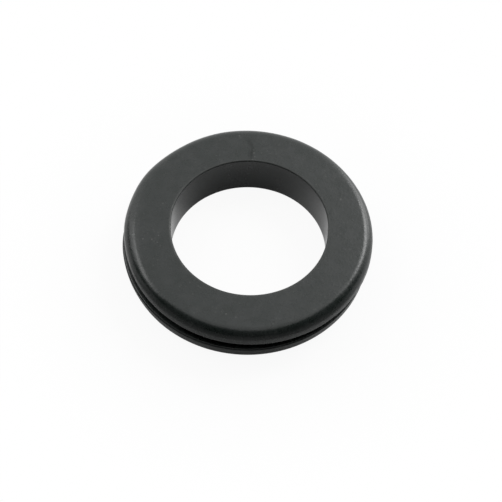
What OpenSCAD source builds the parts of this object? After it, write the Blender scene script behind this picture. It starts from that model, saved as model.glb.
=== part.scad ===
// Rubber grommet that lines a round hole in a sheet metal panel.
// It is one ring, moulded in one piece and revolved from one section: a sleeve round the bore, a flange on each
// side of the panel, and a groove between the flanges that grips the edge of the panel's hole.
// Units are millimetres. The origin is the middle of the back face, and +Z runs along the bore towards the front.

/* [Bore] */
// Diameter of the bore that the cable or hose passes through
bore_d = 25.4; // [20:0.1:27]
// Radius on the rim at each end of the bore
bore_edge_r = 0.25; // [0.1:0.05:0.6]

/* [Panel groove] */
// Diameter of the groove's floor, which fills the panel's hole
groove_d = 31.8; // [29:0.1:34]
// Width of the groove, which takes the thickness of the panel
groove_w = 1.6; // [0.8:0.1:4]
// Radius in each corner of the groove's floor
groove_floor_r = 0.3; // [0.1:0.05:0.35]

/* [Flanges] */
// Outside diameter of both flanges
flange_d = 40; // [38:0.1:46]
// Thickness of the flange on the front of the panel
front_flange_t = 2.9; // [2.4:0.1:5]
// Thickness of the flange on the back of the panel
back_flange_t = 2.9; // [2.4:0.1:5]
// Radius on the outer corner of each flange, where it turns from its flat face to its side
flange_corner_r = 1.7; // [0.4:0.1:1.8]
// Radius on the lip of each flange, where its side turns in to the groove
flange_lip_r = 0.3; // [0.1:0.05:0.5]

/* [Hidden] */

// Radii of the section
bore_r = bore_d / 2;
groove_r = groove_d / 2;
flange_r = flange_d / 2;

// Heights of the section, from the back face up
groove_z0 = back_flange_t;
groove_z1 = groove_z0 + groove_w;
height = groove_z1 + front_flange_t;

// How far a cut reaches past the surface that it trims, or a fillet into the body that it joins
overlap = 0.2;

// Facets in a full turn, of the ring and of an edge radius
ring_fn = 240;
edge_fn = 64;

// Colour of the rubber
rubber = [0.15, 0.15, 0.155];

// What an edge radius takes off a square corner. The corner is at the origin and its two sides run to -X and -Y.
module edge_cut(r) {
    difference() {
        translate([-r, -r]) square(r + overlap);
        translate([-r, -r]) circle(r, $fn = edge_fn);
    }
}

// What a fillet adds in an inside corner. The corner is at the origin and its two sides run to +X and +Y.
module corner_fill(r) {
    difference() {
        translate([-overlap, -overlap]) square(r + overlap);
        translate([r, r]) circle(r, $fn = edge_fn);
    }
}

// Outline of the ring's section before its edges are rounded: X is the radius and Y the height
module square_section() {
    difference() {
        translate([bore_r, 0]) square([flange_r - bore_r, height]);
        translate([groove_r, groove_z0]) square([flange_r - groove_r + overlap, groove_w]);
    }
}

// The four outer edges of the flanges, two large ones by the faces and two small ones at the groove's mouth
module flange_edge_cuts() {
    translate([flange_r, 0]) mirror([0, 1]) edge_cut(flange_corner_r);
    translate([flange_r, groove_z0]) edge_cut(flange_lip_r);
    translate([flange_r, groove_z1]) mirror([0, 1]) edge_cut(flange_lip_r);
    translate([flange_r, height]) edge_cut(flange_corner_r);
}

// The rims at the two ends of the bore
module bore_edge_cuts() {
    translate([bore_r, 0]) rotate(180) edge_cut(bore_edge_r);
    translate([bore_r, height]) mirror([1, 0]) edge_cut(bore_edge_r);
}

// The two fillets along the groove's floor
module groove_fillets() {
    translate([groove_r, groove_z0]) corner_fill(groove_floor_r);
    translate([groove_r, groove_z1]) mirror([0, 1]) corner_fill(groove_floor_r);
}

module section() {
    difference() {
        square_section();
        flange_edge_cuts();
        bore_edge_cuts();
    }
    groove_fillets();
}

module grommet() {
    color(rubber) rotate_extrude($fn = ring_fn) section();
}

grommet();
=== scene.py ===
"""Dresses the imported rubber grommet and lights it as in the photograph.

The visible ring is lathed from the same section that part.scad revolves. It also carries what belongs to the
pictured moulding alone, and so is left out of the solid: the swells, draft and droop of its flanges, the
shift of the back one, the oval and flare of its bore, the knit line and a slightly uneven skin.
Names ending in _MM are millimetres, and constants that are angles are degrees. The mesh and the scene are in
metres, and the shaders work in millimetres on the rubber and in metres on the floor.
"""

import math

import bpy
from mathutils import Matrix, Vector, noise


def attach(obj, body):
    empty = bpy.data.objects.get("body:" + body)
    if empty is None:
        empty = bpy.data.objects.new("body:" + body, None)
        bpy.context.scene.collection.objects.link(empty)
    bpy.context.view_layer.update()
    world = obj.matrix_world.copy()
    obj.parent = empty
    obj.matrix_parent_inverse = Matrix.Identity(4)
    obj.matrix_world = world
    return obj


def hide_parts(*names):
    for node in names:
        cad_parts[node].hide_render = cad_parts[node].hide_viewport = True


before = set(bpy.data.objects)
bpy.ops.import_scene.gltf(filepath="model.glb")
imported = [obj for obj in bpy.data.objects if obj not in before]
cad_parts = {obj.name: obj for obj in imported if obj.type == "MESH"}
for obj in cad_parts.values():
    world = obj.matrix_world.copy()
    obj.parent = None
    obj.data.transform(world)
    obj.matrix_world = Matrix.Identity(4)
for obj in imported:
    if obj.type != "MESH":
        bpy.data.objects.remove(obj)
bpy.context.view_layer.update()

MM = 0.001

# Section of the ring, as in part.scad
BORE_R_MM = 12.7
BORE_EDGE_R_MM = 0.25
GROOVE_R_MM = 15.9
GROOVE_FLOOR_R_MM = 0.3
FLANGE_R_MM = 20.0
FLANGE_CORNER_R_MM = 1.7
FLANGE_LIP_R_MM = 0.3
GROOVE_Z0_MM = 2.9
GROOVE_Z1_MM = 4.5
HEIGHT_MM = 7.4


def metres(lengths_mm):
    return [length * MM for length in lengths_mm]


def spread(start, end, steps):
    """Evenly spaced values from one limit to the other, both included."""
    return [start + (end - start) * step / steps for step in range(steps + 1)]


# ---------------------------------------------------------------- section

# Steps round each kind of corner, and along the side that follows each corner
BORE_EDGE_STEPS = 8
FLANGE_CORNER_STEPS = 24
FLANGE_LIP_STEPS = 10
GROOVE_FLOOR_STEPS = 6
SIDE_STEPS = (12, 14, 3, 8, 4, 8, 3, 14)


def arc(centre, radius, start, end, steps):
    """Points on a circle in the section plane, from one angle in degrees to another, both ends included."""
    turns = [math.radians(angle) for angle in spread(start, end, steps)]
    return [(centre[0] + radius * math.cos(turn), centre[1] + radius * math.sin(turn)) for turn in turns]


def between(start, end, steps):
    """Points inside a straight side, without its two ends, which the arcs beside it hold."""
    across = end[0] - start[0]
    up = end[1] - start[1]
    shares = [step / steps for step in range(1, steps)]
    return [(start[0] + across * share, start[1] + up * share) for share in shares]


def section_corners():
    """The eight rounded corners of the section, going round it from the bore's lower rim up and outwards."""
    near = BORE_R_MM + BORE_EDGE_R_MM
    far = FLANGE_R_MM - FLANGE_CORNER_R_MM
    lip = FLANGE_R_MM - FLANGE_LIP_R_MM
    floor = GROOVE_R_MM + GROOVE_FLOOR_R_MM
    return [
        arc((near, BORE_EDGE_R_MM), BORE_EDGE_R_MM, 270, 180, BORE_EDGE_STEPS),
        arc((near, HEIGHT_MM - BORE_EDGE_R_MM), BORE_EDGE_R_MM, 180, 90, BORE_EDGE_STEPS),
        arc((far, HEIGHT_MM - FLANGE_CORNER_R_MM), FLANGE_CORNER_R_MM, 90, 0, FLANGE_CORNER_STEPS),
        arc((lip, GROOVE_Z1_MM + FLANGE_LIP_R_MM), FLANGE_LIP_R_MM, 0, -90, FLANGE_LIP_STEPS),
        arc((floor, GROOVE_Z1_MM - GROOVE_FLOOR_R_MM), GROOVE_FLOOR_R_MM, 90, 180, GROOVE_FLOOR_STEPS),
        arc((floor, GROOVE_Z0_MM + GROOVE_FLOOR_R_MM), GROOVE_FLOOR_R_MM, 180, 270, GROOVE_FLOOR_STEPS),
        arc((lip, GROOVE_Z0_MM - FLANGE_LIP_R_MM), FLANGE_LIP_R_MM, 90, 0, FLANGE_LIP_STEPS),
        arc((far, FLANGE_CORNER_R_MM), FLANGE_CORNER_R_MM, 0, -90, FLANGE_CORNER_STEPS),
    ]


def section():
    """Closed outline of the ring's section as points of radius and height."""
    corners = section_corners()
    points = []
    for corner, after, steps in zip(corners, corners[1:] + corners[:1], SIDE_STEPS):
        points += corner
        points += between(corner[-1], after[0], steps)
    return points


def outward(outline):
    """The outward normal at each point of a closed outline, from the points beside it."""
    normals = []
    for before, after in zip(outline[-1:] + outline[:-1], outline[1:] + outline[:1]):
        normals.append(Vector((before[1] - after[1], after[0] - before[0])).normalized())
    return normals


# ---------------------------------------------------------------- flanges

# Swells are written as azimuth, half width in degrees, and height. A span is where a form begins and where it
# is full, and the first of the two may be the larger.

# How far each flange's rim stands off its circle, and the radii over which that grows
FRONT_SWELLS_MM = (
    (356, 25, 0.08),
    (72, 24, 0.14),
    (110, 26, 0.26),
    (153, 17, 0.46),
    (178, 14, 0.32),
    (208, 16, 0.07),
)
BACK_SWELLS_MM = ((182, 16, 0.27), (205, 14, 0.08))
RIM_SPAN_MM = (17.0, 19.8)

# Draft of each flange's side: how much smaller it is at the corner than at the lip, and its span from the lip
DRAFT_MM = 0.12
DRAFT_SWELLS_MM = ((176, 22, 0.16),)
BACK_DRAFT_SWELLS_MM = ((205, 16, 0.16),)
DRAFT_SPAN_MM = (0.2, 2.4)

# How far the front flange's corner stands out from its round, and its window of radii and heights
CORNER_SWELLS_MM = ((222, 12, 0.17),)
CORNER_RISE_MM = (17.4, 18.8)
CORNER_FALL_MM = (20.0, 19.2)
CORNER_HEIGHTS_MM = (5.7, 6.6)

# How far the front flange's edge sinks before its corner, and the radii over which it does
DROOP_SWELLS_MM = ((176, 34, 0.28),)
DROOP_SPAN_MM = (17.2, 19.4)

# How far the back flange sits off the ring's centre line along X and Y, and how far outside the bore's wall
# and the groove's floor that begins and is full
BACK_FLANGE_SHIFT_MM = (-0.37, -0.06)
BACK_FLANGE_INSET_MM = 0.5


def smooth_step(value, start, end):
    """0 at the start and 1 at the end, with soft ends. The start may be the higher of the two."""
    share = min(max((value - start) / (end - start), 0), 1)
    return share * share * (3 - 2 * share)


def swell_at(swells, turn):
    """The height of a list of swells at an angle."""
    total = 0
    for azimuth, width, height in swells:
        apart = (math.degrees(turn) - azimuth + 180) % 360 - 180
        total += height * math.exp(-(apart / width) ** 2)
    return total


def corner_window(r, z):
    """1 on the front flange's corner and 0 away from it."""
    ring = smooth_step(r, *CORNER_RISE_MM) * smooth_step(r, *CORNER_FALL_MM)
    return ring * smooth_step(z, *CORNER_HEIGHTS_MM)


def rim_set(r, z, turn):
    """How far a flange's rim stands off its circle, growing from nothing inside the flange."""
    if z < HEIGHT_MM / 2:
        draft = swell_at(BACK_DRAFT_SWELLS_MM, turn)
        offset = swell_at(BACK_SWELLS_MM, turn) - draft * smooth_step(GROOVE_Z0_MM - z, *DRAFT_SPAN_MM)
    else:
        draft = DRAFT_MM + swell_at(DRAFT_SWELLS_MM, turn)
        offset = swell_at(FRONT_SWELLS_MM, turn) - draft * smooth_step(z - GROOVE_Z1_MM, *DRAFT_SPAN_MM)
        offset += swell_at(CORNER_SWELLS_MM, turn) * corner_window(r, z)
    return offset * smooth_step(r, *RIM_SPAN_MM)


def edge_droop(r, z, turn):
    """How far the front face sinks towards its rim."""
    sunk = swell_at(DROOP_SWELLS_MM, turn)
    return sunk * smooth_step(r, *DROOP_SPAN_MM) * smooth_step(z, GROOVE_Z1_MM, HEIGHT_MM)


def back_share(r, z):
    """1 in the back flange, 0 in the front one and on the bore's wall, and between the two in the sleeve."""
    out = smooth_step(r, BORE_R_MM + BACK_FLANGE_INSET_MM, GROOVE_R_MM + BACK_FLANGE_INSET_MM)
    return smooth_step(z, GROOVE_Z1_MM, GROOVE_Z0_MM) * out


# ---------------------------------------------------------------- bore

# The bore's slight oval: its size at the front rim and the back rim, the azimuth of the back rim's long axis,
# and the span of radii from the flanges in to the bore
FRONT_OVAL_MM = -0.07
BACK_OVAL_MM = 0.13
BACK_OVAL_AZIMUTH = 12
BORE_SPAN_MM = (15.0, 13.0)

# How far the bore opens out towards its front rim on the +Y side, and its span along Y
BORE_FLARE_MM = 0.17
BORE_FLARE_SPAN_MM = (-1.3, 4.4)


def bore_oval(r, z, turn):
    """How far the bore's wall stands off its circle."""
    flare = BORE_FLARE_MM * smooth_step(BORE_R_MM * math.sin(turn), *BORE_FLARE_SPAN_MM)
    front = FRONT_OVAL_MM * math.cos(turn) ** 2 + flare
    back = BACK_OVAL_MM * math.cos(2 * (turn - math.radians(BACK_OVAL_AZIMUTH)))
    return (back + (front - back) * z / HEIGHT_MM) * smooth_step(r, *BORE_SPAN_MM)


# ---------------------------------------------------------------- skin

# Knit line on the front face, where the rubber met in the mould: its points from the bore outwards
KNIT_LINE_MM = (
    (-0.45, 13.0),
    (-0.40, 13.8),
    (-0.43, 14.4),
    (-0.30, 15.1),
    (-0.24, 15.6),
    (-0.42, 16.1),
    (-0.56, 16.6),
    (-0.95, 17.2),
    (-1.10, 17.8),
)

# The crease along it: its depth and half width, its span by the bore, where it fades by the rim, and how far
# below the front face it still shows
CREASE_DEPTH_MM = 0.015
CREASE_HALF_WIDTH_MM = 0.22
CREASE_BEGIN_MM = (12.9, 13.2)
CREASE_END_MM = (15.8, 18.2)
CREASE_FACE_MM = 0.1

# The skin's unevenness from the mould
SKIN_HEIGHT_MM = 0.010
SKIN_PITCH_MM = 3.0


def knit_line_x(y):
    """Where the knit line runs at a distance y from the ring's centre."""
    for start, end in zip(KNIT_LINE_MM, KNIT_LINE_MM[1:]):
        if y <= end[1]:
            share = max((y - start[1]) / (end[1] - start[1]), 0)
            return start[0] + (end[0] - start[0]) * share
    return KNIT_LINE_MM[-1][0]


def knit_crease(x, y, z):
    """Depth of the crease at a point, deepest beside the bore and fading towards the rim."""
    if y < BORE_R_MM or z < HEIGHT_MM - CREASE_FACE_MM:
        return 0
    fade = smooth_step(y, *CREASE_BEGIN_MM) * (1 - smooth_step(y, *CREASE_END_MM))
    return CREASE_DEPTH_MM * fade * math.exp(-((x - knit_line_x(y)) / CREASE_HALF_WIDTH_MM) ** 2)


def skin_height(x, y, z):
    """How far the skin stands off the section at a point."""
    return SKIN_HEIGHT_MM * noise.noise(Vector((x, y, z)) / SKIN_PITCH_MM) - knit_crease(x, y, z)


# ---------------------------------------------------------------- ring

# Columns of points in a full turn, and the closer ones across the knit line
TURN_STEPS = 384
KNIT_AZIMUTHS = (89.0, 95.0)
KNIT_STEP = 0.15


def mould(point, normal, turn):
    """Where a point of the section lands on the moulded ring, in metres."""
    r, z = point
    r, z = r + rim_set(r, z, turn) + bore_oval(r, z, turn), z - edge_droop(r, z, turn)
    back = back_share(r, z)
    x = r * math.cos(turn) + back * BACK_FLANGE_SHIFT_MM[0]
    y = r * math.sin(turn) + back * BACK_FLANGE_SHIFT_MM[1]
    skin = skin_height(x, y, z)
    x += skin * normal[0] * math.cos(turn)
    y += skin * normal[0] * math.sin(turn)
    z += skin * normal[1]
    return metres((x, y, z))


def turn_angles():
    """Angles of the ring's columns of points in radians, close together at the knit line."""
    step = 360 / TURN_STEPS
    angles = [step * index for index in range(TURN_STEPS)]
    first, last = KNIT_AZIMUTHS
    angles = [angle for angle in angles if not first - step / 2 < angle < last + step / 2]
    angles += [first + KNIT_STEP * index for index in range(round((last - first) / KNIT_STEP) + 1)]
    return [math.radians(angle) for angle in sorted(angles)]


def add_mesh_object(name, verts, faces, material):
    mesh = bpy.data.meshes.new(name)
    mesh.from_pydata(verts, [], faces)
    mesh.materials.append(material)
    made = bpy.data.objects.new(name, mesh)
    bpy.context.scene.collection.objects.link(made)
    return made


def lathe(name, outline, turns, material):
    """A smooth mesh of the outline carried round +Z, with one column of points for each angle."""
    normals = outward(outline)
    verts = []
    for turn in turns:
        verts += [mould(point, normal, turn) for point, normal in zip(outline, normals)]
    rows = len(outline)
    faces = []
    for column in range(len(turns)):
        here = column * rows
        there = (column + 1) % len(turns) * rows
        for row in range(rows):
            above = (row + 1) % rows
            faces.append((here + row, here + above, there + above, there + row))
    ring = add_mesh_object(name, verts, faces, material)
    ring.data.shade_smooth()
    return ring


def make_ring():
    ring = lathe("grommet_ring", section(), turn_angles(), rubber_material())
    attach(ring, "root")
    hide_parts("grommet")


# ---------------------------------------------------------------- nodes

NOISE_ROUGHNESS = 0.55


def add_node(tree, kind, inputs=None, **settings):
    """Adds a shader node with its settings, and gives its inputs values or links."""
    made = tree.nodes.new("ShaderNode" + kind)
    for name, value in settings.items():
        setattr(made, name, value)
    for name, value in (inputs or {}).items():
        if isinstance(value, bpy.types.NodeSocket):
            tree.links.new(value, made.inputs[name])
        else:
            made.inputs[name].default_value = value
    return made


def maths(tree, operation, first, second=0.0, third=0.0):
    return add_node(tree, "Math", {0: first, 1: second, 2: third}, operation=operation).outputs[0]


def distance(tree, value, place):
    """How far a value lies from a place on its axis."""
    return maths(tree, "ABSOLUTE", maths(tree, "SUBTRACT", value, place))


def ramp(tree, value, start, end, low=0.0, high=1.0):
    """Carries a value from one range to another with soft ends."""
    inputs = {"Value": value, "From Min": start, "From Max": end, "To Min": low, "To Max": high}
    return add_node(tree, "MapRange", inputs, interpolation_type="SMOOTHSTEP").outputs["Result"]


def noise_field(tree, place, per_mm, detail):
    inputs = {"Vector": place, "Scale": per_mm, "Detail": detail, "Roughness": NOISE_ROUGHNESS}
    return add_node(tree, "TexNoise", inputs).outputs["Fac"]


def mix_colours(tree, share, first, second):
    return add_node(tree, "Mix", {"Factor": share, 6: first, 7: second}, data_type="RGBA").outputs[2]


# ---------------------------------------------------------------- marks on the rubber

# Dust on the front face in the photograph: place and radius, and where a speck fades, in radii
DUST_MM = (
    (14.7, 6.0, 0.16),
    (-16.8, -3.5, 0.12),
    (-15.4, -3.5, 0.12),
    (-14.5, -4.0, 0.10),
    (-14.4, -2.7, 0.10),
    (-2.9, -16.3, 0.12),
    (-1.4, -16.8, 0.10),
    (-14.2, 3.5, 0.10),
    (0.15, 14.56, 0.12),
    (0.31, 13.84, 0.10),
    (-0.04, 13.2, 0.10),
    (-2.44, 18.0, 0.12),
)
DUST_FADE = (1.5, 0.4)

# The knit line, where the colour is darkened as painted shade of its crease: its fade to both sides, its
# spans by the bore and by the rim, the place of its darkest stretch and the fade round that, how strong it is
# elsewhere, and how far below the front face it still shows
KNIT_FADE_MM = (0.65, 0.12)
KNIT_BEGIN_MM = (12.4, 12.8)
KNIT_END_MM = (18.2, 16.6)
KNIT_DARK_Y_MM = 14.45
KNIT_DARK_FADE_MM = (0.9, 0.3)
KNIT_FAINT = 0.62
KNIT_FACE_MM = 0.15

# How much of X the knit line's curve node covers, half of it on each side of 0
KNIT_CURVE_MM = 4.0

# Pale flecks: their number per mm, their fade as a share of a cell, and the patches they gather in
FLECKS_PER_MM = 1.5
FLECK_FADE = (0.26, 0.10)
PATCHES_PER_MM = 0.3
PATCH_DETAIL = 2.0
PATCH_LIMITS = (0.46, 0.62)

# How softly the bore's wall and its trimmed front edge end
BORE_WALL_FADE_MM = 0.05
EDGE_FADE_MM = 0.1
EDGE_HEIGHT_FADE_MM = 0.05


def dust_field(tree, place):
    """1 in the middle of each dust speck and 0 away from them all."""
    field = 0.0
    for x, y, radius in DUST_MM:
        inputs = {0: place, 1: (x, y, HEIGHT_MM)}
        away = add_node(tree, "VectorMath", inputs, operation="DISTANCE").outputs["Value"]
        speck = ramp(tree, away, *[radius * share for share in DUST_FADE])
        field = maths(tree, "MAXIMUM", field, speck)
    return field


def knit_line_place(tree, y):
    """X of the knit line as a curve over Y."""
    start = KNIT_LINE_MM[0][1]
    length = KNIT_LINE_MM[-1][1] - start
    share = maths(tree, "MULTIPLY_ADD", y, 1 / length, -start / length)
    curve = add_node(tree, "FloatCurve", {"Value": share})
    points = curve.mapping.curves[0].points
    while len(points) < len(KNIT_LINE_MM):
        points.new(0.5, 0.5)
    for point, (line_x, line_y) in zip(points, KNIT_LINE_MM):
        point.location = ((line_y - start) / length, 0.5 + line_x / KNIT_CURVE_MM)
    curve.mapping.update()
    return maths(tree, "MULTIPLY_ADD", curve.outputs["Value"], KNIT_CURVE_MM, -KNIT_CURVE_MM / 2)


def knit_field(tree, place):
    """1 on the knit line and 0 away from it."""
    x, y, z = add_node(tree, "SeparateXYZ", {0: place}).outputs
    line = ramp(tree, distance(tree, x, knit_line_place(tree, y)), *KNIT_FADE_MM)
    deep = ramp(tree, distance(tree, y, KNIT_DARK_Y_MM), *KNIT_DARK_FADE_MM, KNIT_FAINT, 1.0)
    ends = maths(tree, "MULTIPLY", ramp(tree, y, *KNIT_BEGIN_MM), ramp(tree, y, *KNIT_END_MM))
    along = maths(tree, "MULTIPLY", deep, ends)
    top = maths(tree, "GREATER_THAN", z, HEIGHT_MM - KNIT_FACE_MM)
    return maths(tree, "MULTIPLY", maths(tree, "MULTIPLY", line, along), top)


def fleck_field(tree, place):
    """Fine pale flecks in the skin, gathered in patches."""
    cells = add_node(tree, "TexVoronoi", {"Vector": place, "Scale": FLECKS_PER_MM})
    dots = ramp(tree, cells.outputs["Distance"], *FLECK_FADE)
    patches = ramp(tree, noise_field(tree, place, PATCHES_PER_MM, PATCH_DETAIL), *PATCH_LIMITS)
    return maths(tree, "MULTIPLY", dots, patches)


def bore_fields(tree, place):
    """0 on the bore's wall, which a polished pin forms, and 1 elsewhere. Then 1 on its trimmed front edge."""
    x, y, z = add_node(tree, "SeparateXYZ", {0: place}).outputs
    flat = add_node(tree, "CombineXYZ", {"X": x, "Y": y})
    radius = add_node(tree, "VectorMath", {0: flat.outputs[0]}, operation="LENGTH").outputs["Value"]
    flare = ramp(tree, y, *BORE_FLARE_SPAN_MM, 0.0, BORE_FLARE_MM / HEIGHT_MM)
    radius = maths(tree, "SUBTRACT", radius, maths(tree, "MULTIPLY", flare, z))
    near = BORE_R_MM + BORE_EDGE_R_MM
    outside = ramp(tree, radius, BORE_R_MM + BORE_WALL_FADE_MM, near)
    front = HEIGHT_MM - BORE_EDGE_R_MM
    edge = maths(tree, "MULTIPLY", ramp(tree, radius, near + EDGE_FADE_MM, near),
                 ramp(tree, z, front - EDGE_HEIGHT_FADE_MM, front + EDGE_HEIGHT_FADE_MM))
    return outside, edge


# ---------------------------------------------------------------- rubber

# The two tones of the rubber, and the noise that mixes them
RUBBER_GREEN = (0.0115, 0.0160, 0.0142, 1)
RUBBER_GREY = (0.0195, 0.0235, 0.0222, 1)
TONES_PER_MM = 0.5
TONE_DETAIL = 5.0
TONE_LIMITS = (0.32, 0.68)

# How much the marks cover of that. The knit line's near-black is painted shade of its crease.
KNIT_CREASE_SHADE_COLOUR = (0.0010, 0.0040, 0.0030, 1)
KNIT_CREASE_SHADE_SHARE = 0.98
DUST_COLOUR = (0.16, 0.16, 0.15, 1)
DUST_SHARE = 0.35
FLECK_SHARE = 0.14
EDGE_SHARE = 0.08

# Roughness of the skin and of the bore's wall, the clouds in both, and what each mark adds
RUBBER_ROUGHNESS = 0.29
BORE_ROUGHNESS = 0.15
CLOUD_ROUGHNESS = 0.24
CLOUDS_PER_MM = 1.3
CLOUD_DETAIL = 4.0
EDGE_ROUGHNESS = 0.35
DUST_ROUGHNESS = 0.25
KNIT_ROUGHNESS = -0.12

# The mould's grain, and how much of it the bore's wall has
GRAIN_HEIGHT_MM = 0.021
GRAIN_PER_MM = 2.2
GRAIN_DETAIL = 2.0
BORE_GRAIN = 0.3

RUBBER_IOR = 1.5


def rubber_colour(tree, place, dust, knit, edge):
    tone = ramp(tree, noise_field(tree, place, TONES_PER_MM, TONE_DETAIL), *TONE_LIMITS)
    rubber = mix_colours(tree, tone, RUBBER_GREEN, RUBBER_GREY)
    # Painted shade: the knit line is darkened as the shade in its crease
    crease_shaded = mix_colours(tree, maths(tree, "MULTIPLY", knit, KNIT_CREASE_SHADE_SHARE), rubber, KNIT_CREASE_SHADE_COLOUR)
    flecks = maths(tree, "MULTIPLY", fleck_field(tree, place), FLECK_SHARE)
    pale = maths(tree, "MULTIPLY_ADD", dust, DUST_SHARE, flecks)
    pale = maths(tree, "MULTIPLY_ADD", edge, EDGE_SHARE, pale)
    return mix_colours(tree, pale, crease_shaded, DUST_COLOUR)


def rubber_roughness(tree, place, dust, knit, outside, edge):
    clouds = noise_field(tree, place, CLOUDS_PER_MM, CLOUD_DETAIL)
    least = BORE_ROUGHNESS - CLOUD_ROUGHNESS / 2
    base = maths(tree, "MULTIPLY_ADD", outside, RUBBER_ROUGHNESS - BORE_ROUGHNESS, least)
    rough = maths(tree, "MULTIPLY_ADD", clouds, CLOUD_ROUGHNESS, base)
    rough = maths(tree, "MULTIPLY_ADD", edge, EDGE_ROUGHNESS, rough)
    rough = maths(tree, "MULTIPLY_ADD", dust, DUST_ROUGHNESS, rough)
    return maths(tree, "MULTIPLY_ADD", knit, KNIT_ROUGHNESS, rough)


def rubber_grain(tree, place, outside):
    """The mould's grain, as a bump that is fainter in the bore."""
    height = noise_field(tree, place, GRAIN_PER_MM, GRAIN_DETAIL)
    strength = maths(tree, "MULTIPLY_ADD", outside, 1 - BORE_GRAIN, BORE_GRAIN)
    inputs = {"Strength": strength, "Distance": GRAIN_HEIGHT_MM * MM, "Height": height}
    return add_node(tree, "Bump", inputs).outputs["Normal"]


def rubber_material():
    material = bpy.data.materials.new("moulded_rubber")
    material.use_nodes = True
    tree = material.node_tree
    shader = tree.nodes["Principled BSDF"]
    object_place = add_node(tree, "TexCoord").outputs["Object"]
    place = add_node(tree, "VectorMath", {0: object_place, "Scale": 1 / MM}, operation="SCALE").outputs[0]
    dust = dust_field(tree, place)
    knit = knit_field(tree, place)
    outside, edge = bore_fields(tree, place)
    tree.links.new(rubber_colour(tree, place, dust, knit, edge), shader.inputs["Base Color"])
    tree.links.new(rubber_roughness(tree, place, dust, knit, outside, edge), shader.inputs["Roughness"])
    tree.links.new(rubber_grain(tree, place, outside), shader.inputs["Normal"])
    shader.inputs["IOR"].default_value = RUBBER_IOR
    return material


# ---------------------------------------------------------------- floor

FLOOR_RADIUS_MM = 1000
FLOOR_RIM_STEP = 5
FLOOR_WHITE = (0.85, 0.85, 0.85, 1)
# Painted shade, which only reflections see on one side of the floor
FLOOR_REFLECTED_SHADE = (0.15, 0.15, 0.15, 1)

# How much of the floor is plain white to the camera and to glass, by the ring and away from it. The rest is
# lit, and keeps the shadow.
FLOOR_CAMERA_SHARES = (0.93, 1.0)
FLOOR_CAMERA_RADII_MM = (22, 46)

# The same for reflections. It is more towards one azimuth, as painted light standing in for the fill's light
# on the floor.
FLOOR_GLOSSY_SHARE = 0.08
FLOOR_PAINTED_FILL_SHARE = 0.5
FLOOR_PAINTED_FILL_AZIMUTH = 110
FLOOR_PAINTED_FILL_SPAN_MM = (-1, 7)

# The same for reflections of the floor inside the bore: in its middle, and where along X it grows by how
# much, as painted light at the bore's ends. Outside the bore's wall it fades over to the shares above.
FLOOR_BORE_SHARE = 0.12
FLOOR_BORE_PAINTED_LIGHT_MM = ((2.5, 9.5, 0.21), (12.0, 12.7, 0.22), (-8.3, -12.3, 0.34))
FLOOR_BORE_FADE_MM = 1

# Painted shade: reflections see the floor turn grey towards one azimuth, and outwards from the ring
FLOOR_REFLECTED_SHADE_AZIMUTH = 257
FLOOR_REFLECTED_SHADE_SPAN_MM = (-7, 12)
FLOOR_REFLECTED_SHADE_RADII_MM = (18, 30)


def on_sphere(azimuth, elevation, radius_mm):
    turn = math.radians(azimuth)
    rise = math.radians(elevation)
    flat = Vector((math.cos(turn), math.sin(turn), 0)) * math.cos(rise)
    return (flat + Vector((0, 0, math.sin(rise)))) * radius_mm * MM


def add_stage(name, verts, faces, material):
    """Adds a mesh for the studio, which is not attached to the object."""
    stage = add_mesh_object(name, verts, faces, material)
    return stage


def plain_material(name, colour):
    """A matt material of one colour."""
    material = bpy.data.materials.new(name)
    material.use_nodes = True
    shader = material.node_tree.nodes["Principled BSDF"]
    shader.inputs["Base Color"].default_value = colour
    shader.inputs["Roughness"].default_value = 1.0
    shader.inputs["Specular IOR Level"].default_value = 0.0
    return material


def ramp_towards(tree, place, azimuth, span_mm, low=0.0, high=1.0):
    """Carries a value across the floor, from one distance to another in the direction of an azimuth."""
    direction = on_sphere(azimuth, 0, 1 / MM)
    reach = add_node(tree, "VectorMath", {0: place, 1: direction}, operation="DOT_PRODUCT").outputs["Value"]
    return ramp(tree, reach, *metres(span_mm), low, high)


def reflected_white(tree, place, away):
    """How much of the floor reflections see as plain white, from the ring's middle outwards, with painted
    light at the bore's ends and towards the fill.
    """
    across = add_node(tree, "SeparateXYZ", {0: place}).outputs["X"]
    in_bore = FLOOR_BORE_SHARE
    for start, end, more in FLOOR_BORE_PAINTED_LIGHT_MM:
        in_bore = maths(tree, "ADD", in_bore, ramp(tree, across, start * MM, end * MM, 0.0, more))
    outside = ramp_towards(tree, place, FLOOR_PAINTED_FILL_AZIMUTH, FLOOR_PAINTED_FILL_SPAN_MM,
                           FLOOR_GLOSSY_SHARE, FLOOR_PAINTED_FILL_SHARE)
    limits = metres((BORE_R_MM, BORE_R_MM + FLOOR_BORE_FADE_MM))
    return ramp(tree, away, *limits, in_bore, outside)


def white_share(tree, place, away, path):
    """How much of the floor is plain white to the camera, to glass and to reflections."""
    seen = ramp(tree, away, *metres(FLOOR_CAMERA_RADII_MM), *FLOOR_CAMERA_SHARES)
    share = maths(tree, "MULTIPLY", path.outputs["Is Camera Ray"], seen)
    share = maths(tree, "MULTIPLY_ADD", path.outputs["Is Transmission Ray"], seen, share)
    glossy = reflected_white(tree, place, away)
    return maths(tree, "MULTIPLY_ADD", path.outputs["Is Glossy Ray"], glossy, share)


def floor_colour(tree, place, away, path):
    """White, with painted shade that reflections see as grey on one side."""
    side = ramp_towards(tree, place, FLOOR_REFLECTED_SHADE_AZIMUTH, FLOOR_REFLECTED_SHADE_SPAN_MM)
    grey = maths(tree, "MULTIPLY", side, ramp(tree, away, *metres(FLOOR_REFLECTED_SHADE_RADII_MM)))
    reflected_shade = maths(tree, "MULTIPLY", path.outputs["Is Glossy Ray"], grey)
    return mix_colours(tree, reflected_shade, FLOOR_WHITE, FLOOR_REFLECTED_SHADE)


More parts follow.
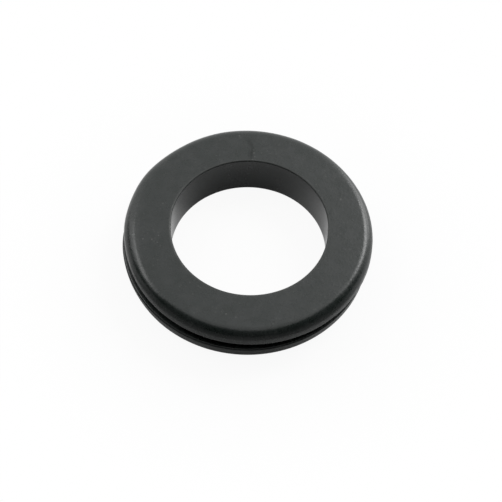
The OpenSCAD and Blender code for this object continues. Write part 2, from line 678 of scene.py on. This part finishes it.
def floor_material():
    """Pale floor that the camera, reflections and glass see partly as plain white."""
    material = plain_material("floor", FLOOR_WHITE)
    tree = material.node_tree
    shader = tree.nodes["Principled BSDF"]
    path = add_node(tree, "LightPath")
    place = add_node(tree, "TexCoord").outputs["Object"]
    away = add_node(tree, "VectorMath", {0: place}, operation="LENGTH").outputs["Value"]
    tree.links.new(floor_colour(tree, place, away, path), shader.inputs["Base Color"])
    white = add_node(tree, "Emission", {"Color": (1, 1, 1, 1), "Strength": 1.0})
    share = white_share(tree, place, away, path)
    mixed = add_node(tree, "MixShader", {0: share, 1: shader.outputs["BSDF"], 2: white.outputs["Emission"]})
    tree.links.new(mixed.outputs["Shader"], tree.nodes["Material Output"].inputs["Surface"])
    return material


def make_floor():
    rim = [on_sphere(angle, 0, FLOOR_RADIUS_MM) for angle in range(0, 360, FLOOR_RIM_STEP)]
    add_stage("floor", rim, [tuple(range(len(rim)))], floor_material())


# ---------------------------------------------------------------- studio

# Softboxes: azimuth and elevation of the middle, distance, width and height in millimetres, and radiance
SOFTBOXES = {
    "key_high": (42, 43, 700, 290, 270, 7.2),
    "key_low": (46, 16, 750, 400, 400, 2.4),
    "back_high": (64, 48, 750, 260, 260, 0.7),
    "fill_high": (157, 47, 700, 280, 260, 4.0),
    "fill_low": (156, 25, 750, 220, 250, 2.0),
}

# The unlit side of the studio, behind the camera: a dark card that the camera doesn't see
CARD_AZIMUTHS = (149, 372)
CARD_ELEVATIONS = (-4, 64)
CARD_RADIUS_MM = 1050
CARD_STEPS = (24, 8)
CARD_BLACK = (0.01, 0.01, 0.01, 1)


def make_card():
    columns, rows = CARD_STEPS
    azimuths = spread(*CARD_AZIMUTHS, columns)
    elevations = spread(*CARD_ELEVATIONS, rows)
    verts = []
    for azimuth in azimuths:
        verts += [on_sphere(azimuth, elevation, CARD_RADIUS_MM) for elevation in elevations]
    faces = []
    for column in range(columns):
        for row in range(rows):
            here = column * len(elevations) + row
            there = here + len(elevations)
            faces.append((here, here + 1, there + 1, there))
    card = add_stage("dark_card", verts, faces, plain_material("dark_card", CARD_BLACK))
    card.visible_camera = False


def make_softbox(name, azimuth, elevation, distance_mm, width_mm, height_mm, radiance):
    """A rectangular softbox that faces the ring."""
    data = bpy.data.lights.new(name, "AREA")
    data.shape = "RECTANGLE"
    data.size = width_mm * MM
    data.size_y = height_mm * MM
    data.energy = radiance * math.pi * data.size * data.size_y
    light = bpy.data.objects.new(name, data)
    light.location = on_sphere(azimuth, elevation, distance_mm)
    light.rotation_euler = light.location.to_track_quat("Z", "Y").to_euler()
    light.visible_camera = False
    bpy.context.scene.collection.objects.link(light)


def make_world():
    """Plain white surroundings."""
    world = bpy.data.worlds.new("studio")
    world.use_nodes = True
    background = world.node_tree.nodes["Background"]
    background.inputs["Color"].default_value = (1, 1, 1, 1)
    background.inputs["Strength"].default_value = 1.0
    bpy.context.scene.world = world


# ---------------------------------------------------------------- camera

# Fitted to the ring's outlines in the photograph
CAMERA_ELEVATION = 58.16
CAMERA_DISTANCE_MM = 183.7
CAMERA_ROLL = 3.07
CAMERA_LENS_MM = 79.2
CAMERA_AIM_MM = (0.46, -0.18, 0.0)
CAMERA_NEAR_MM = 10


def make_camera():
    elevation = math.radians(CAMERA_ELEVATION)
    back = Vector((0, -math.cos(elevation), math.sin(elevation)))
    place = back * CAMERA_DISTANCE_MM * MM
    aim = Vector(CAMERA_AIM_MM) * MM
    data = bpy.data.cameras.new("camera")
    data.lens = CAMERA_LENS_MM
    data.clip_start = CAMERA_NEAR_MM * MM
    camera = bpy.data.objects.new("camera", data)
    look = (aim - place).to_track_quat("-Z", "Y").to_matrix().to_4x4()
    roll = Matrix.Rotation(math.radians(CAMERA_ROLL), 4, "Z")
    camera.matrix_world = Matrix.Translation(place) @ look @ roll
    bpy.context.scene.collection.objects.link(camera)
    bpy.context.scene.camera = camera


make_camera()
make_ring()
make_floor()
make_card()
for name, place_and_size in SOFTBOXES.items():
    make_softbox(name, *place_and_size)
make_world()
bpy.context.scene.view_settings.view_transform = "Standard"
